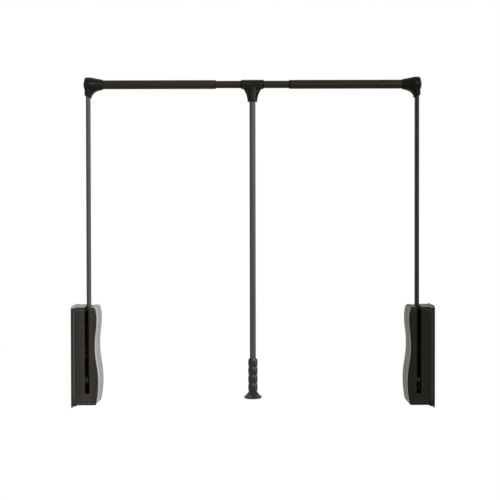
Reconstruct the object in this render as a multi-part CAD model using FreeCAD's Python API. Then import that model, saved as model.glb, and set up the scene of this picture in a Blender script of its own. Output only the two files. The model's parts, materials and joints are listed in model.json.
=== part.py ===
"""Pull down closet rod: two wall housings, two swinging arms, a telescopic rod and a pull rod with a grip.

Millimetres. X runs from the left wall to the right wall, Y from the front to the back, Z up. The origin
lies midway between the walls, at mid-depth, on the level of the wall plates' feet. The left side is modelled
and the right side is its mirror image. Inside a housing, a distance from the wall is written "off the wall".
"""
import FreeCAD
import Part
import math
import os
from FreeCAD import Vector

# ---------------------------------------------------------------- overall sizes
overall_width = 949.0           # wall to wall, as set; the rod telescopes from here
rod_height = 847.5              # axis of the clothes rod above the feet of the wall plates
housing_depth = 120.0
housing_height = 256.0
housing_foot = 7.5              # the covers start this far above the wall plate's foot
arm_from_back = 73.0            # from the back of the housing to the plane of the arms
arm_off_wall = 42.0             # middle of the arm
pivot_rise = 61.0               # pivot above the lower edge of the covers
swing_angle = 105.0             # upright to fully lowered
push_in = 29.0                  # how far each end can be pushed in from the set width

# ---------------------------------------------------------------- fits
running_fit = 0.05              # radial, shaft turning or sliding in its bore
push_fit = 0.05                 # radial, pieces pressed or fastened together
side_gap = 0.3                  # between faces that slide or turn past each other
tooth_gap = 0.3                 # backlash between sector and rack, along the pitch line
cut_past = 1.0                  # cutting tools run this far past the faces they cut
parallel_within = 1e-6          # radians

# ---------------------------------------------------------------- covers
cover_gauge = 2.4
fascia_gauge = 4.0
rim_off_wall = 12.7             # where the base shell ends and the covers begin
rim_drop = 2.6                  # the base shell's lower edge below that of the covers
toe_off_wall = 64.5             # thickness of the housing, going up its wavy side
hip_off_wall = 71.0
waist_off_wall = 62.3
shoulder_off_wall = 67.2
crown_off_wall = 62.5
hip_share = 0.225               # where those places lie, in shares of the covers' height
waist_share = 0.605
shoulder_share = 0.885
crown_radius = 7.0
toe_radius = 3.0
least_fillet = 0.5
top_bevel_height = 7.0
foot_bevel_height = 12.0
bevel_back = 3.0                # how far both bevels lean back
edge_bevel = 1.6                # along the fascia's wavy edge
slot_clearance = 0.7            # between the arm's sides and the slot
slot_foot = 30.5                # lower end of the front slot above the covers' lower edge
slot_behind_arm = 3.0           # the top slot runs this far past the arm
slot_corner = 2.0
lip_length = 6.0                # the fascia's locating lip inside the side cover
lip_gauge = 1.6
lip_gap = 0.2
hook_gauge = 2.0                # snap hooks that hold the side cover to the bearing plate
hook_width = 12.0
hook_barb = 1.4

# ---------------------------------------------------------------- steel frame inside a housing
plate_gauge = 2.5
plate_above_crown = 3.0         # the wall plate's top edge above the covers
plate_top_corner = 8.0
plate_foot_corner = 2.0
wall_hole_radius = 3.25
wall_hole_from_edge = 24.0      # front and back rows, from the housing's front and back
wall_hole_low = 50.0            # lower row above the plate's foot
wall_hole_below_crown = 13.5    # upper row
driver_window = 14.0            # square windows that the lower screws are driven through
bearing_gap = 5.0               # from the arm's side to the inner plate
bearing_margin = 9.0            # plate left around its posts
bearing_lift = 9.5              # above the covers' lower edge
bearing_from_back = 3.0
window_above_pivot = 50.0       # opening beside the spring, which the side cover's hooks grip
window_below_shelf = 12.0
post_width = 8.0                # across the flats of the hexagon
tenon_width = 5.0
foot_post_rise = 19.5           # the two lower posts above the covers' lower edge
front_post_from_front = 20.0
rear_post_from_back = 14.0
upper_post_from_back = 7.5
upper_post_above_shelf = 12.0

# ---------------------------------------------------------------- pivot and hub
pin_radius = 6.0
pin_head_width = 17.0           # across the flats
pin_tip = 2.2                   # past the clip
clip_width = 18.0
clip_gauge = 1.0
bush_wall = 1.5
bush_length = 12.0
hub_off_wall = 12.0             # wall side end of the hub
hub_wall = 5.5                  # around the bushes
tongue_above_pivot = 46.0
rivet_width = 6.0               # across the flats
rivet_rise = 30.0               # above the pivot
arm_above_hub = 1.5

# ---------------------------------------------------------------- rack and sector
gear_module = 2.0
gear_teeth = 20                 # on a full circle; the sector carries fewer
pressure_angle = 20.0
addendum = 1.0                  # in modules
dedendum = 1.25
gear_off_wall = 19.0            # middle of the teeth
gear_width = 10.0
spare_teeth = 1.1               # at least, past the meshing point at both ends of the travel
rack_back = 8.0                 # steel behind the root of the rack's teeth
rack_head_above_gear = 12.5     # underside of the rack's head above the top of the pitch circle
rack_head_height = 10.0
rack_head_width = 20.0
guide_wall = 3.0
guide_length = 70.0
guide_lip = 5.5                 # how far the guide wraps the rack's sides

# ---------------------------------------------------------------- spring and damper
spring_behind_pivot = 30.0
spring_radius = 9.5             # middle of the wire
wire_width = 3.0                # flat wire: across the coil
wire_height = 2.4               # along the coil
spring_turns = 5
spring_rod_radius = 4.0
rod_above_shelf = 3.0           # the spring rod's top, while the arm is upright
rod_under_cover = 5.4           # left above it under the cover, when the arm is fully lowered
shelf_gauge = 3.0
shelf_behind_arm = 4.0
shelf_past_damper = 1.0
shelf_flange_height = 15.0
damper_behind_pivot = 51.0
damper_radius = 7.5
damper_rod_radius = 3.0
damper_rod_inside = 4.0         # in the damper's bore, while the arm is upright
damper_nose_gap = 2.5           # left between rack head and damper when the arm is fully lowered
damper_bore_spare = 6.0
damper_nut_width = 20.0
damper_nut_height = 5.0
damper_above_nut = 1.5

# ---------------------------------------------------------------- rest buffer
buffer_width = 16.0             # across the flats
buffer_length = 12.0
buffer_below_crown = 24.6       # its axis under the top of the covers

# ---------------------------------------------------------------- arms and rod
arm_thickness = 11.0            # across; the long side of the oval runs front to back
arm_breadth = 24.0
arm_wall = 1.5
outer_tube_radius = 11.7
tube_wall = 1.2
bare_middle = 193.0             # inner tube to be seen between the two end bushes
tube_bush_wall = 0.7            # between the two tubes
tube_bush_length = 24.0
tube_bush_flange = 3.0
inner_tube_spare = 5.0          # left between inner tube and elbow at the narrowest setting

# ---------------------------------------------------------------- elbow
elbow_reach = 39.5              # from the arm's middle to the mouth that takes the tube
elbow_mouth_wall = 1.5
elbow_mouth_chamfer = 1.2
elbow_drum_step = 6.35          # the drum's radius over that of the mouth
elbow_drum_taper_start = 6.0    # from the arm's middle, where the drum starts to taper
elbow_throat_out = 22.9         # same, to the change between the two tapers
elbow_throat_step = 2.9         # radius there over that of the mouth
elbow_end = 12.4                # from the arm's middle to the flat of the outer end
elbow_end_flat_radius = 4.0
elbow_end_rim = 8.8             # same, to the rim of the end's shallow cone
elbow_rim_round = 3.0
elbow_wall = 3.3
elbow_inner_wall = 2.0          # between the arm's pocket and the tube's
elbow_skirt_inner = 35.5        # lower ends of the arm socket under the rod's axis
elbow_skirt_outer = 28.5
elbow_web_width = 17.0
elbow_web_short = 5.0           # the web stops this far short of the mouth
elbow_web_lip = 1.0             # and starts this far under the mouth's radius
elbow_hollow_out = 17.1         # middle of the web's hollow, from the arm's middle
elbow_hollow_drop = 20.2        # same, under the rod's axis
elbow_hollow_foot = 30.0        # where the hollow runs into the socket
arm_seat_above_axis = 8.0
screw_width = 4.0               # hexagonal, across the flats
screw_sunk = 0.5                # outer end below the surface around it
tube_screw_from_mouth = 12.8

# ---------------------------------------------------------------- tee, pull rod and grip
tee_length = 57.8
tee_wall = 1.7
tee_chamfer = 1.5
liner_wall = 1.0
liner_lip = 1.0
liner_lip_rise = 1.2
neck_length = 45.8              # from the rod's axis to the lower end of the tee
neck_wall = 2.5
neck_taper = 1.1                # the neck's radius at the axis over that at its foot
fin_half_top = 24.8
fin_half_middle = 17.0
fin_half_foot = 12.8
fin_gauge = 8.0
fin_sunk = 1.5                  # the fins' top edge inside the sleeve
fin_middle_drop = 24.6          # where the fins are fin_half_middle wide, under the rod's axis
fin_straight = 3.0              # at their foot
pull_rod_radius = 8.0
pull_rod_wall = 1.2
pull_rod_gap = 3.5              # its top under the sleeve
tee_screw_drop = 32.0
grip_foot = 19.8                # lowest point of the grip above the wall plates' feet
grip_rings = 4
grip_pitch = 21.7
grip_wall = 3.25                # around the pull rod, at the necks between the rings
grip_bulge = 1.4                # how far the rings stand out from the necks
flare_height = 18.2
flare_radius = 23.7
flare_edge_height = 5.4
flare_edge_round = 2.6
flare_middle_share = 0.4        # the flare's hollow: share of its spread gained at half its height
grip_floor = 23.0               # blind end of the bore above the grip's foot

# ---------------------------------------------------------------- places worked out from the sizes above
wall_x = -overall_width / 2
front_y = -housing_depth / 2
back_y = housing_depth / 2
fascia_back_y = front_y + fascia_gauge
arm_y = back_y - arm_from_back
arm_x = wall_x + arm_off_wall
covers_z = housing_foot
crown_z = housing_foot + housing_height
pivot_z = covers_z + pivot_rise
rod_z = rod_height

pitch_radius = gear_module * gear_teeth / 2
tip_radius = pitch_radius + addendum * gear_module
root_radius = pitch_radius - dedendum * gear_module
tooth_pitch = math.pi * gear_module
rack_travel = pitch_radius * math.radians(swing_angle)
gear_x = wall_x + gear_off_wall
rack_pitch_y = arm_y + pitch_radius
rack_root_y = rack_pitch_y + dedendum * gear_module
rack_head_z = pivot_z + pitch_radius + rack_head_above_gear
rack_top_z = rack_head_z + rack_head_height

shelf_z = crown_z - cover_gauge - rod_under_cover - rack_travel - rod_above_shelf - shelf_gauge
spring_y = arm_y + spring_behind_pivot
damper_y = arm_y + damper_behind_pivot
damper_nose_z = rack_top_z + rack_travel + damper_nose_gap
buffer_y = arm_y + arm_breadth / 2 + side_gap + buffer_width / 2
buffer_z = crown_z - buffer_below_crown

bearing_off_wall = arm_off_wall + arm_thickness / 2 + bearing_gap
slot_half_width = arm_thickness / 2 + slot_clearance
hub_radius = pin_radius + bush_wall + hub_wall
hub_end_off_wall = bearing_off_wall - side_gap
arm_back_y = arm_y + arm_breadth / 2

inner_tube_radius = outer_tube_radius - tube_wall - push_fit - tube_bush_wall - running_fit
elbow_mouth_radius = outer_tube_radius + push_fit + elbow_mouth_wall
elbow_drum_radius = elbow_mouth_radius + elbow_drum_step
mouth_x = arm_x + elbow_reach
tube_end_x = arm_x + arm_thickness / 2 + push_fit + elbow_inner_wall
bush_face_x = -bare_middle / 2
inner_tube_half = -tube_end_x - push_in - inner_tube_spare

liner_radius = inner_tube_radius + running_fit + liner_wall
tee_radius = liner_radius + running_fit + tee_wall
neck_radius = pull_rod_radius + push_fit + neck_wall
pull_rod_top_z = rod_z - tee_radius - pull_rod_gap
grip_neck_radius = pull_rod_radius + push_fit + grip_wall
grip_flare_top_z = grip_foot + flare_height
grip_top_z = grip_flare_top_z + grip_rings * grip_pitch
grip_seat_z = grip_foot + grip_floor

# Front to back and up: the posts that tie the two plates of a housing together.
front_post = (front_y + front_post_from_front, covers_z + foot_post_rise)
rear_post = (back_y - rear_post_from_back, covers_z + foot_post_rise)
upper_post = (back_y - upper_post_from_back, shelf_z + upper_post_above_shelf)
buffer_post = (buffer_y, buffer_z)
post_places = (front_post, rear_post, upper_post, buffer_post)

# The bearing plate's window, whose upper and lower edges the side cover's hooks grip.
window_y = (spring_y - spring_radius, damper_y + damper_rod_radius)
window_z = (pivot_z + window_above_pivot, shelf_z - window_below_shelf)

along_x = Vector(1, 0, 0)
along_y = Vector(0, 1, 0)
along_z = Vector(0, 0, 1)

parts = {}


# ---------------------------------------------------------------- small helpers
def keep(name, shape):
    parts[name] = shape


def keep_both_sides(name, shape):
    parts["left_" + name] = shape
    parts["right_" + name] = shape.mirror(Vector(0, 0, 0), along_x)


def block(x, y, z):
    """Box from three (low, high) pairs."""
    corner = Vector(x[0], y[0], z[0])
    return Part.makeBox(x[1] - x[0], y[1] - y[0], z[1] - z[0], corner)


def bar_x(radius, x, y, z):
    """Round bar along X; x is a (low, high) pair."""
    return Part.makeCylinder(radius, x[1] - x[0], Vector(x[0], y, z), along_x)


def bar_z(radius, x, y, z):
    return Part.makeCylinder(radius, z[1] - z[0], Vector(x, y, z[0]), along_z)


def tube_x(radius, wall, x, y, z):
    return bar_x(radius, x, y, z).cut(bar_x(radius - wall, x, y, z))


def off_wall(low, high):
    """X range of something that lies between two distances off the left wall."""
    return (wall_x + low, wall_x + high)


def lines_through(points):
    """Straight edges from each point to the next."""
    return [Part.makeLine(start, end) for start, end in zip(points, points[1:])]


def outline_face(edges):
    """Plane face inside a closed ring of edges, which may come in any order."""
    return Part.Face(Part.Wire(Part.sortEdges(edges)[0]))


def polygon_prism(points, run):
    return Part.Face(Part.makePolygon(points + [points[0]])).extrude(run)


def hexagon(width, start, run):
    """Hexagonal bar, sized across its flats, from the middle of one end along a vector."""
    across = along_y if run.x else along_x
    half_corner = width / 2 / math.cos(math.radians(30))
    corners = []
    for number in range(6):
        turn = FreeCAD.Rotation(run, 60 * number + 30)
        corners.append(start + turn.multVec(across) * half_corner)
    return polygon_prism(corners, run)


def hexagon_x(width, x, y, z):
    return hexagon(width, Vector(x[0], y, z), along_x * (x[1] - x[0]))


def hexagon_y(width, x, y, z):
    return hexagon(width, Vector(x, y[0], z), along_y * (y[1] - y[0]))


def edges_along(shape, direction, wanted):
    """Straight edges parallel to a direction; wanted picks among them by their middle point."""
    found = []
    for edge in shape.Edges:
        if not isinstance(edge.Curve, Part.Line) or not wanted(edge.CenterOfMass):
            continue
        if edge.Curve.Direction.isParallel(direction, parallel_within):
            found.append(edge)
    return found


def arm_section_bar(grow, z):
    """Upright bar of the arm's flat-oval section, made thicker all round by grow."""
    half_thickness = arm_thickness / 2 + grow
    half_breadth = arm_breadth / 2 + grow
    straight = half_breadth - half_thickness
    left_front = Vector(arm_x - half_thickness, arm_y - straight, z[0])
    left_back = Vector(arm_x - half_thickness, arm_y + straight, z[0])
    right_front = Vector(arm_x + half_thickness, arm_y - straight, z[0])
    right_back = Vector(arm_x + half_thickness, arm_y + straight, z[0])
    front = Vector(arm_x, arm_y - half_breadth, z[0])
    back = Vector(arm_x, arm_y + half_breadth, z[0])
    edges = [
        Part.makeLine(left_front, left_back),
        Part.Arc(left_back, back, right_back).toShape(),
        Part.makeLine(right_back, right_front),
        Part.Arc(right_front, front, left_front).toShape(),
    ]
    return outline_face(edges).extrude(along_z * (z[1] - z[0]))


# ---------------------------------------------------------------- covers
def arc_from_upright(start, end):
    """Arc in an XZ plane that runs upright where it starts."""
    run = end - start
    radius = run.dot(run) / (2 * run.x)
    half_turn = math.atan(abs(run.x / run.z))
    rise = math.copysign(radius * math.sin(half_turn), run.z)
    middle = start + Vector(radius * (1 - math.cos(half_turn)), 0, rise)
    return Part.Arc(start, middle, end).toShape()


def wavy_body(inset, x_start, y):
    """Everything inside the housing's wavy outline, drawn in by inset, between two depths.

    The wavy side is a chain of tangent arcs: it runs upright at hip, waist and shoulder, and turns from one
    arc to the next half way between them.
    """
    low = covers_z + inset
    high = crown_z - inset

    def on_side(share, thickness):
        return Vector(wall_x + thickness - inset, y[0], low + share * (high - low))

    toe = on_side(0, toe_off_wall)
    hip = on_side(hip_share, hip_off_wall)
    waist = on_side(waist_share, waist_off_wall)
    shoulder = on_side(shoulder_share, shoulder_off_wall)
    crown = on_side(1, crown_off_wall)
    above_hip = (hip + waist) / 2
    above_waist = (waist + shoulder) / 2
    edges = [
        arc_from_upright(hip, toe),
        arc_from_upright(hip, above_hip),
        arc_from_upright(waist, above_hip),
        arc_from_upright(waist, above_waist),
        arc_from_upright(shoulder, above_waist),
        arc_from_upright(shoulder, crown),
    ]
    edges += lines_through([crown, Vector(x_start, y[0], high), Vector(x_start, y[0], low), toe])
    body = outline_face(edges).extrude(along_y * (y[1] - y[0]))
    middle = (low + high) / 2
    crown_edge = edges_along(body, along_y, lambda p: p.x > x_start + cut_past and p.z > middle)
    body = body.makeFillet(crown_radius - inset, crown_edge)
    toe_edge = edges_along(body, along_y, lambda p: p.x > x_start + cut_past and p.z < low + least_fillet)
    return body.makeFillet(max(toe_radius - inset, least_fillet), toe_edge)


def cover_hook(edge_z, inward):
    """Tongue through the bearing plate's window, with a barb behind it; inward is 1 at the lower edge."""
    middle_y = (window_y[0] + window_y[1]) / 2
    y = (middle_y - hook_width / 2, middle_y + hook_width / 2)
    face = edge_z + inward * side_gap
    tongue_z = sorted((face, face + inward * hook_gauge))
    barb_z = sorted((face - inward * hook_barb, face + inward * hook_gauge))
    behind = bearing_off_wall - side_gap
    tongue = block(off_wall(behind - hook_barb, hip_off_wall), y, tongue_z)
    return tongue.fuse(block(off_wall(behind - hook_barb, behind), y, barb_z))


def make_side_cover():
    """Light shell: wavy side, top, bottom and back, open to the front and to the wall."""
    start = wall_x + rim_off_wall
    depth = (fascia_back_y, back_y)
    outline = wavy_body(0.0, start, depth)
    top = block(off_wall(plate_gauge, rim_off_wall), depth, (crown_z - cover_gauge, crown_z))
    inside = wavy_body(cover_gauge, wall_x, (fascia_back_y - cut_past, back_y - cover_gauge))
    shell = outline.fuse(top).cut(inside)
    for edge_z, inward in ((window_z[0], 1), (window_z[1], -1)):
        shell = shell.fuse(cover_hook(edge_z, inward).common(outline))
    slot = block(
        (arm_x - slot_half_width, arm_x + slot_half_width),
        (fascia_back_y - cut_past, arm_back_y + slot_behind_arm),
        (crown_z - crown_radius, crown_z + cut_past),
    )
    return shell.cut(slot).removeSplitter()


def bevel_wedge(edge_z, height, upward):
    """What a bevel takes off the fascia's front, at its top (upward 1) or at its foot (upward -1)."""
    near = front_y - cut_past
    far = front_y + bevel_back
    outside_z = edge_z + upward * cut_past
    outline = [
        (near, edge_z - upward * height * (1 + cut_past / bevel_back)),
        (far, edge_z),
        (far, outside_z),
        (near, outside_z),
    ]
    points = [Vector(wall_x, y, z) for y, z in outline]
    return polygon_prism(points, along_x * (hip_off_wall + cut_past))


def make_front_fascia():
    """Dark front: bevelled edges, a slot for the arm and a locating lip behind."""
    start = wall_x + rim_off_wall
    face = wavy_body(0.0, start, (front_y, fascia_back_y))
    wavy_edges = []
    for edge in face.Edges:
        middle = edge.CenterOfMass
        if isinstance(edge.Curve, Part.Circle) and middle.y < front_y + least_fillet:
            wavy_edges.append(edge)
    face = face.makeChamfer(edge_bevel, wavy_edges)
    face = face.cut(bevel_wedge(crown_z, top_bevel_height, 1))
    face = face.cut(bevel_wedge(covers_z, foot_bevel_height, -1))
    lip_start = start + lip_gap
    lip_inset = cover_gauge + lip_gap
    lip_end_y = fascia_back_y + lip_length
    lip = wavy_body(lip_inset, lip_start, (fascia_back_y, lip_end_y))
    hollow_y = (fascia_back_y - cut_past, lip_end_y + cut_past)
    lip = lip.cut(wavy_body(lip_inset + lip_gauge, lip_start - cut_past, hollow_y))
    slot = block(
        (arm_x - slot_half_width, arm_x + slot_half_width),
        (front_y - cut_past, lip_end_y + cut_past),
        (covers_z + slot_foot, crown_z + cut_past),
    )
    slot = slot.makeFillet(slot_corner, edges_along(slot, along_y, lambda p: p.z < crown_z))
    return face.fuse(lip).cut(slot).removeSplitter()


def make_base_shell():
    """Shallow rim round the wall plate that the covers close against."""
    z = (covers_z - rim_drop, crown_z - cover_gauge)
    inside_y = (front_y + cover_gauge, back_y - cover_gauge)
    inside_z = (z[0] + cover_gauge, z[1] - cover_gauge)
    rim = block(off_wall(0, rim_off_wall), (front_y, back_y), z)
    rim = rim.cut(block(off_wall(0, rim_off_wall), inside_y, inside_z))
    return rim.cut(block(off_wall(0, plate_gauge), inside_y, z))


# ---------------------------------------------------------------- steel frame
def make_wall_plate():
    """Flat plate against the closet wall, let into the base shell; it shows above and below the covers."""
    inside_y = (front_y + cover_gauge, back_y - cover_gauge)
    plate = block(off_wall(0, plate_gauge), inside_y, (0, crown_z + plate_above_crown))
    plate = plate.makeFillet(plate_foot_corner, edges_along(plate, along_x, lambda p: p.z < crown_z))
    plate = plate.makeFillet(plate_top_corner, edges_along(plate, along_x, lambda p: p.z > crown_z))
    for y in (front_y + wall_hole_from_edge, back_y - wall_hole_from_edge):
        for z in (wall_hole_low, crown_z - wall_hole_below_crown):
            plate = plate.cut(bar_x(wall_hole_radius, off_wall(0, plate_gauge), y, z))
    return plate


def make_bearing_plate():
    """Inner plate that carries the free end of the pivot pin."""
    front = front_post[0] - bearing_margin
    rear = back_y - bearing_from_back
    low = covers_z + bearing_lift
    outline = [
        (front, low),
        (rear, low),
        (rear, upper_post[1] + bearing_margin),
        (buffer_y + bearing_margin, buffer_z + bearing_margin),
        (buffer_y - bearing_margin, buffer_z + bearing_margin),
        (buffer_y - bearing_margin, window_z[0]),
        (arm_y - bearing_margin, pivot_z + hub_radius + bearing_margin),
        (front, pivot_z),
    ]
    span = off_wall(bearing_off_wall, bearing_off_wall + plate_gauge)
    points = [Vector(span[0], y, z) for y, z in outline]
    plate = polygon_prism(points, along_x * plate_gauge)
    plate = plate.cut(block(span, window_y, window_z))
    for y, z in post_places:
        plate = plate.cut(hexagon_x(tenon_width + 2 * push_fit, span, y, z))
    half = driver_window / 2
    for y in (front_y + wall_hole_from_edge, back_y - wall_hole_from_edge):
        plate = plate.cut(block(span, (y - half, y + half), (wall_hole_low - half, wall_hole_low + half)))
    return plate.cut(bar_x(pin_radius + push_fit, span, arm_y, pivot_z))


def make_spacer_posts():
    """Hexagonal posts, welded to the wall plate, with tenons spun over flush in the bearing plate."""
    posts = []
    for y, z in post_places:
        post = hexagon_x(post_width, off_wall(plate_gauge, bearing_off_wall), y, z)
        tenon = hexagon_x(tenon_width, off_wall(bearing_off_wall, bearing_off_wall + plate_gauge), y, z)
        posts.append(post.fuse(tenon))
    return Part.makeCompound(posts)


def make_spring_bracket():
    """Shelf between the two plates, with a flange at each, that spring and damper push against."""
    depth = (arm_back_y + shelf_behind_arm, damper_y + damper_radius + shelf_past_damper)
    across = off_wall(plate_gauge, bearing_off_wall)
    shelf = block(across, depth, (shelf_z, shelf_z + shelf_gauge))
    flange_z = (shelf_z, shelf_z + shelf_gauge + shelf_flange_height)
    for start in (across[0], across[1] - shelf_gauge):
        shelf = shelf.fuse(block((start, start + shelf_gauge), depth, flange_z))
    shelf = shelf.removeSplitter()
    folds = edges_along(shelf, along_y, lambda p: p.z < shelf_z + least_fillet)
    shelf = shelf.makeFillet(shelf_gauge - least_fillet, folds)
    through = (shelf_z, shelf_z + shelf_gauge)
    half = spring_rod_radius + side_gap
    shelf = shelf.cut(block((gear_x - half, gear_x + half), (spring_y - half, spring_y + half), through))
    return shelf.cut(bar_z(damper_radius + push_fit, gear_x, damper_y, through))


# ---------------------------------------------------------------- pivot
def make_pivot_pin():
    """Axle welded to the wall plate, with a hexagonal head that keeps the hub off the plate."""
    plate_face = bearing_off_wall + plate_gauge
    tip = plate_face + push_fit + clip_gauge + pin_tip
    pin = bar_x(pin_radius, off_wall(plate_gauge, tip), arm_y, pivot_z)
    head = hexagon_x(pin_head_width, off_wall(plate_gauge, hub_off_wall - side_gap), arm_y, pivot_z)
    return pin.fuse(head)


def make_pivot_clip():
    """Push-on retaining plate on the pin, against the bearing plate."""
    start = bearing_off_wall + plate_gauge + push_fit
    span = off_wall(start, start + clip_gauge)
    plate = hexagon_x(clip_width, span, arm_y, pivot_z)
    return plate.cut(bar_x(pin_radius + push_fit, span, arm_y, pivot_z))


def make_pivot_bushes():
    """Two plain bushes, pressed into the hub from its ends."""
    spans = (
        off_wall(hub_off_wall, hub_off_wall + bush_length),
        off_wall(hub_end_off_wall - bush_length, hub_end_off_wall),
    )
    outer = pin_radius + bush_wall
    wall = bush_wall - running_fit
    return Part.makeCompound([tube_x(outer, wall, span, arm_y, pivot_z) for span in spans])


# ---------------------------------------------------------------- toothed sector and rack
def involute(angle):
    return math.tan(angle) - angle


def on_gear(radius, angle):
    """Point on the sector's wall side face; angles run from +Y towards +Z about the pivot."""
    x = gear_x - gear_width / 2
    return Vector(x, arm_y + radius * math.cos(angle), pivot_z + radius * math.sin(angle))


def sector_tooth(middle):
    """One tooth about a middle angle in radians, rooted inside the sector.

    Each flank is the arc through three points of its involute.
    """
    base_radius = pitch_radius * math.cos(math.radians(pressure_angle))
    half_at_pitch = (tooth_pitch - tooth_gap) / 4 / pitch_radius
    half_at_base = half_at_pitch + involute(math.radians(pressure_angle))
    radii = (base_radius, (base_radius + tip_radius) / 2, tip_radius)
    halves = [half_at_base - involute(math.acos(min(1.0, base_radius / radius))) for radius in radii]
    root = root_radius - cut_past
    tip_arc = Part.Arc(*[on_gear(tip_radius, middle + side * halves[-1]) for side in (-1, 0, 1)])
    edges = [tip_arc.toShape()]
    for side in (-1, 1):
        flank = Part.Arc(*[on_gear(radius, middle + side * half) for radius, half in zip(radii, halves)])
        edges.append(flank.toShape())
        foot = on_gear(root, middle + side * half_at_base)
        edges.append(Part.makeLine(foot, on_gear(base_radius, middle + side * half_at_base)))
    edges.append(Part.makeLine(on_gear(root, middle - half_at_base), on_gear(root, middle + half_at_base)))
    return outline_face(edges).extrude(along_x * gear_width)


def make_hub_sector():
    """Hub with the toothed sector near the wall and the tongue that carries the arm."""
    step = 2 * math.pi / gear_teeth
    first_tooth = 1
    last_tooth = -math.ceil(math.radians(swing_angle) / step) - 1
    start_angle = (last_tooth - 0.5) * step
    end_angle = (first_tooth + 0.5) * step
    rim = Part.Arc(*[on_gear(root_radius, angle) for angle in (
        start_angle, (start_angle + end_angle) / 2, end_angle)])
    centre = on_gear(0, 0)
    edges = [rim.toShape()]
    edges += lines_through([on_gear(root_radius, end_angle), centre, on_gear(root_radius, start_angle)])
    sector = outline_face(edges).extrude(along_x * gear_width)
    for number in range(last_tooth, first_tooth + 1):
        sector = sector.fuse(sector_tooth(number * step))
    span = off_wall(hub_off_wall, hub_end_off_wall)
    hub = bar_x(hub_radius, span, arm_y, pivot_z).fuse(sector)
    inner_half = arm_thickness / 2 - arm_wall - push_fit
    flat_half = (arm_breadth - arm_thickness) / 2
    tongue = block(
        (arm_x - inner_half, arm_x + inner_half),
        (arm_y - flat_half, arm_y + flat_half),
        (pivot_z, pivot_z + tongue_above_pivot),
    )
    hub = hub.fuse(tongue).cut(bar_x(pin_radius + bush_wall, span, arm_y, pivot_z))
    rivet_span = (arm_x - arm_thickness, arm_x + arm_thickness)
    hole = hexagon_x(rivet_width + 2 * push_fit, rivet_span, arm_y, pivot_z + rivet_rise)
    return hub.cut(hole).removeSplitter()


def make_hub_rivet():
    """Hexagonal cross pin through arm and tongue, staked flush with the arm's sides."""
    side = arm_thickness / 2
    return hexagon_x(rivet_width, (arm_x - side, arm_x + side), arm_y, pivot_z + rivet_rise)


def make_rack():
    """Toothed bar with a head that the spring and the damper rod stand on."""
    slope = math.tan(math.radians(pressure_angle))
    half_at_pitch = (tooth_pitch - tooth_gap) / 4
    tip_half = half_at_pitch - addendum * gear_module * slope
    root_half = half_at_pitch + dedendum * gear_module * slope
    tip_y = rack_pitch_y - addendum * gear_module
    back = rack_root_y + rack_back
    teeth_below = math.ceil(rack_travel / tooth_pitch + spare_teeth)
    teeth_above = math.ceil(spare_teeth)
    foot = pivot_z - teeth_below * tooth_pitch
    outline = [(back, rack_head_z), (back, foot), (rack_root_y, foot)]
    for number in range(-teeth_below, teeth_above):
        middle = pivot_z + (number + 0.5) * tooth_pitch
        outline += [
            (rack_root_y, middle - root_half),
            (tip_y, middle - tip_half),
            (tip_y, middle + tip_half),
            (rack_root_y, middle + root_half),
        ]
    outline.append((rack_root_y, rack_head_z))
    points = [Vector(gear_x - gear_width / 2, y, z) for y, z in outline]
    rack = polygon_prism(points, along_x * gear_width)
    half = rack_head_width / 2
    depth = (rack_pitch_y, damper_y + damper_radius)
    head = block((gear_x - half, gear_x + half), depth, (rack_head_z, rack_top_z))
    return rack.fuse(head).removeSplitter()


def make_rack_guide():
    """Plastic channel on the wall plate: the rack's back and sides slide in it."""
    back = rack_root_y + rack_back + side_gap
    lip_y = back - guide_lip
    near = gear_off_wall - gear_width / 2 - side_gap
    far = gear_off_wall + gear_width / 2 + side_gap
    outline = [
        (plate_gauge, lip_y),
        (near, lip_y),
        (near, back),
        (far, back),
        (far, lip_y),
        (far + guide_wall, lip_y),
        (far + guide_wall, back + guide_wall),
        (plate_gauge, back + guide_wall),
    ]
    foot = rack_head_z - side_gap - guide_length
    points = [Vector(wall_x + distance, y, foot) for distance, y in outline]
    return polygon_prism(points, along_z * guide_length)


# ---------------------------------------------------------------- spring and damper
def make_spring():
    """Compression spring of flat wire between the rack's head and the shelf."""
    low = rack_top_z + push_fit
    rise = shelf_z - push_fit - low - wire_height
    helix = Part.makeLongHelix(rise / spring_turns, rise, spring_radius)
    inner = spring_radius - wire_width / 2
    outer = spring_radius + wire_width / 2
    half = wire_height / 2
    corners = [
        Vector(inner, 0, -half),
        Vector(outer, 0, -half),
        Vector(outer, 0, half),
        Vector(inner, 0, half),
    ]
    section = Part.makePolygon(corners + [corners[0]])
    coil = Part.Wire(helix.Edges).makePipeShell([section], True, True)
    coil.translate(Vector(gear_x, spring_y, low + half))
    return coil


def make_spring_rod():
    """Rod on the rack's head; it rises through the shelf as the arm comes down."""
    return bar_z(spring_rod_radius, gear_x, spring_y, (rack_top_z, shelf_z + shelf_gauge + rod_above_shelf))


def make_damper_body():
    """Cylinder screwed into the shelf, with a deep bore for its rod."""
    top = shelf_z + shelf_gauge + damper_nut_height + damper_above_nut
    body = bar_z(damper_radius, gear_x, damper_y, (damper_nose_z, top))
    bore = (damper_nose_z, damper_nose_z + rack_travel + damper_bore_spare)
    return body.cut(bar_z(damper_rod_radius + side_gap, gear_x, damper_y, bore))


def make_damper_rod():
    """Piston rod on the rack's head."""
    return bar_z(damper_rod_radius, gear_x, damper_y, (rack_top_z, damper_nose_z + damper_rod_inside))


def make_damper_nut():
    """Lock nut on the damper, above the shelf."""
    z = (shelf_z + shelf_gauge, shelf_z + shelf_gauge + damper_nut_height)
    nut = hexagon(damper_nut_width, Vector(gear_x, damper_y, z[0]), along_z * damper_nut_height)
    return nut.cut(bar_z(damper_radius + push_fit, gear_x, damper_y, z))


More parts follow.
